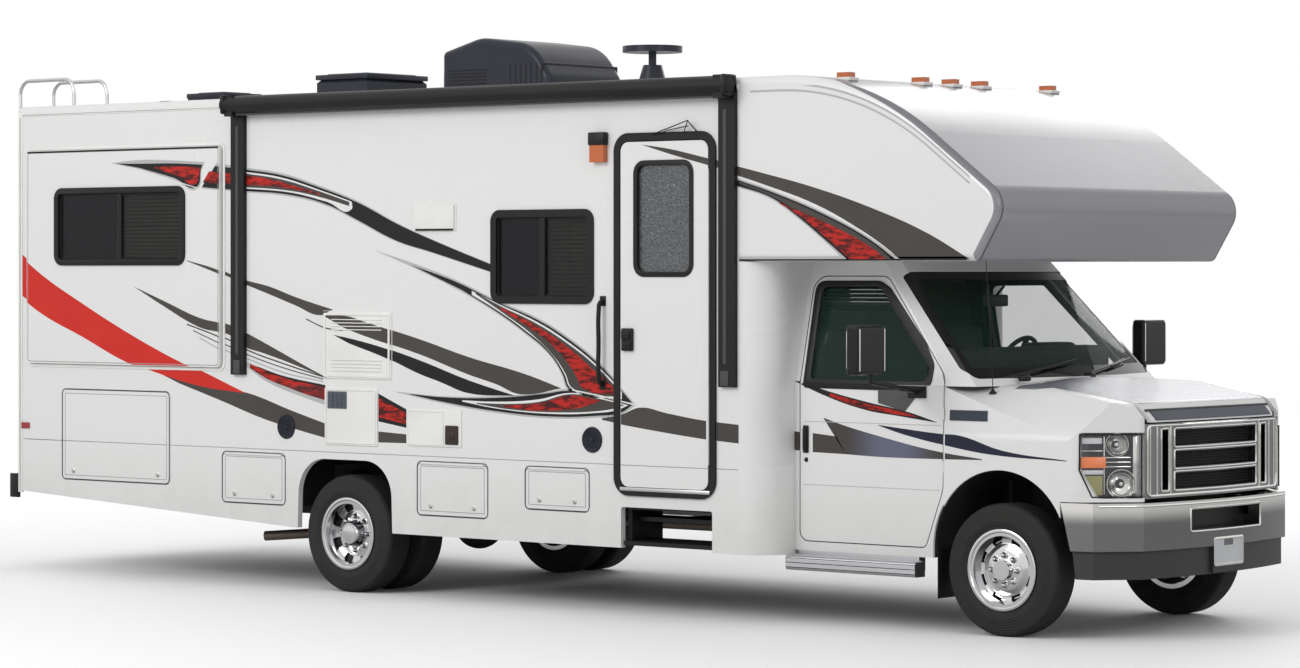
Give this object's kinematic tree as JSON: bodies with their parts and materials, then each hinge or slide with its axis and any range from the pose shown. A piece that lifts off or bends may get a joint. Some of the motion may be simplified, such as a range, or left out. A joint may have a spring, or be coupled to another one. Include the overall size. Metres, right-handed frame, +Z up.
{
  "type": "motorhome",
  "caption": "Cutaway-chassis motorhome with an overcab bunk, slide-out room, awning, entry door, baggage doors and twin rear wheels.",
  "frame": {"origin": "on the ground below the middle of the overall length and width", "axes": "+X towards the front, +Y to the left (driver's) side, +Z up"},
  "size_m": [9.01, 3.2, 3.5453],
  "materials": {
    "body_white": "gloss",
    "panel_white": "satin",
    "frame_black": "satin",
    "chassis_black": "satin",
    "cast_axle": "rough",
    "engine_block": "rough",
    "exhaust_steel": "dull",
    "tank_plastic": "matte",
    "floor_board": "matte",
    "tinted_glass": "gloss",
    "clear_glass": "gloss",
    "lamp_clear": "gloss",
    "chrome_trim": "polished",
    "wheel_chrome": "polished",
    "tyre_rubber": "matte",
    "cab_trim": "matte",
    "roof_unit": "satin",
    "bright_aluminium": "satin",
    "lamp_amber": "gloss"
  },
  "bodies": {
    "coach": {"frame_rails": "chassis_black", "frame_crossmembers": "chassis_black", "front_axle": "cast_axle", "rear_axle": "cast_axle", "engine": "engine_block", "exhaust": "exhaust_steel", "underfloor_tanks": "tank_plastic", "right_wall": "body_white", "left_wall": "body_white", "rear_wall": "body_white", "coach_floor": "floor_board", "baggage_boxes": "tank_plastic", "roof": "body_white", "overcab_cap": "body_white", "coach_window_frames": "frame_black", "coach_window_glass": "tinted_glass", "cab_shell": "body_white", "windshield": "clear_glass", "headlamps": "lamp_clear", "front_wings": "body_white", "grille": "chrome_trim", "front_bumper": "chrome_trim", "cab_interior": "cab_trim", "running_boards": "frame_black", "awning": "body_white", "roof_air_conditioner": "roof_unit", "roof_fittings": "roof_unit", "ladder": "bright_aluminium", "hitch_receiver": "chassis_black", "rear_bumper": "chassis_black", "service_panels": "panel_white", "lamps": "lamp_amber"},
    "hood": {"hood": "body_white"},
    "slide_room": {"slide_room": "body_white", "slide_window": "tinted_glass"},
    "entry_door": {"entry_door": "body_white", "entry_door_window": "tinted_glass"},
    "entry_step": {"entry_step": "frame_black"},
    "cab_door_right": {"cab_door_right": "body_white", "cab_door_glass_right": "clear_glass", "mirror_right": "frame_black"},
    "cab_door_left": {"cab_door_left": "body_white", "cab_door_glass_left": "clear_glass", "mirror_left": "frame_black"},
    "knuckle_right": {"knuckle_right": "cast_axle"},
    "knuckle_left": {"knuckle_left": "cast_axle"},
    "front_wheel_right": {"wheel_front_right": "wheel_chrome", "tyre_front_right": "tyre_rubber"},
    "front_wheel_left": {"wheel_front_left": "wheel_chrome", "tyre_front_left": "tyre_rubber"},
    "rear_wheels_right": {"wheels_rear_right": "wheel_chrome", "tyres_rear_right": "tyre_rubber"},
    "rear_wheels_left": {"wheels_rear_left": "wheel_chrome", "tyres_rear_left": "tyre_rubber"},
    "baggage_door_a": {"baggage_door_a": "body_white"},
    "baggage_door_b": {"baggage_door_b": "body_white"},
    "baggage_door_c": {"baggage_door_c": "body_white"},
    "baggage_door_d": {"baggage_door_d": "body_white"},
    "baggage_door_e": {"baggage_door_e": "body_white"}
  },
  "joints": [
    {"name": "hood_hinge", "type": "hinge", "parent": "coach", "child": "hood", "pos_m": [3.605, 0, 1.406], "axis": [0, -1, 0], "range_deg": [0, 50]},
    {"name": "slide_room_out", "type": "slide", "parent": "coach", "child": "slide_room", "axis": [0, -1, 0], "range_m": [0, 0.55]},
    {"name": "entry_step_out", "type": "slide", "parent": "coach", "child": "entry_step", "axis": [0, -1, 0], "range_m": [0, 0.25]},
    {"name": "entry_door_hinge", "type": "hinge", "parent": "coach", "child": "entry_door", "pos_m": [1.779, -1.289, 1.7], "axis": [0, 0, 1], "range_deg": [0, 95]},
    {"name": "cab_door_right_hinge", "type": "hinge", "parent": "coach", "child": "cab_door_right", "pos_m": [3.25, -1, 1], "axis": [0, 0, 1], "range_deg": [0, 65]},
    {"name": "cab_door_left_hinge", "type": "hinge", "parent": "coach", "child": "cab_door_left", "pos_m": [3.25, 1, 1], "axis": [0, 0, -1], "range_deg": [0, 65]},
    {"name": "baggage_a_hinge", "type": "hinge", "parent": "coach", "child": "baggage_door_a", "pos_m": [-2.82, -1.272, 0.9325], "axis": [0, 0, 1], "range_deg": [0, 100]},
    {"name": "baggage_b_hinge", "type": "hinge", "parent": "coach", "child": "baggage_door_b", "pos_m": [-2.017, -1.272, 0.85], "axis": [-1, 0, 0], "range_deg": [0, 100]},
    {"name": "baggage_c_hinge", "type": "hinge", "parent": "coach", "child": "baggage_door_c", "pos_m": [-0.2645, -1.272, 0.843], "axis": [-1, 0, 0], "range_deg": [0, 100]},
    {"name": "baggage_d_hinge", "type": "hinge", "parent": "coach", "child": "baggage_door_d", "pos_m": [0.5955, -1.272, 0.842], "axis": [-1, 0, 0], "range_deg": [0, 100]},
    {"name": "baggage_e_hinge", "type": "hinge", "parent": "coach", "child": "baggage_door_e", "pos_m": [-0.27, 1.272, 0.843], "axis": [1, 0, 0], "range_deg": [0, 100]},
    {"name": "steering_right", "type": "hinge", "parent": "coach", "child": "knuckle_right", "pos_m": [3.635, -0.775, 0.372], "axis": [0, 0, 1], "range_deg": [-35, 35]},
    {"name": "steering_left", "type": "hinge", "parent": "coach", "child": "knuckle_left", "pos_m": [3.635, 0.775, 0.372], "axis": [0, 0, 1], "range_deg": [-35, 35]},
    {"name": "front_wheel_right_spin", "type": "hinge", "parent": "knuckle_right", "child": "front_wheel_right", "pos_m": [3.635, -0.8815, 0.372], "axis": [0, 1, 0], "continuous": true},
    {"name": "rear_wheels_right_spin", "type": "hinge", "parent": "coach", "child": "rear_wheels_right", "pos_m": [-1.195, -0.988, 0.372], "axis": [0, 1, 0], "continuous": true},
    {"name": "front_wheel_left_spin", "type": "hinge", "parent": "knuckle_left", "child": "front_wheel_left", "pos_m": [3.635, 0.8815, 0.372], "axis": [0, 1, 0], "continuous": true},
    {"name": "rear_wheels_left_spin", "type": "hinge", "parent": "coach", "child": "rear_wheels_left", "pos_m": [-1.195, 0.988, 0.372], "axis": [0, 1, 0], "continuous": true}
  ],
  "couplings": [
    {"joint": "steering_left", "follows": "steering_right", "ratio": 1}
  ]
}
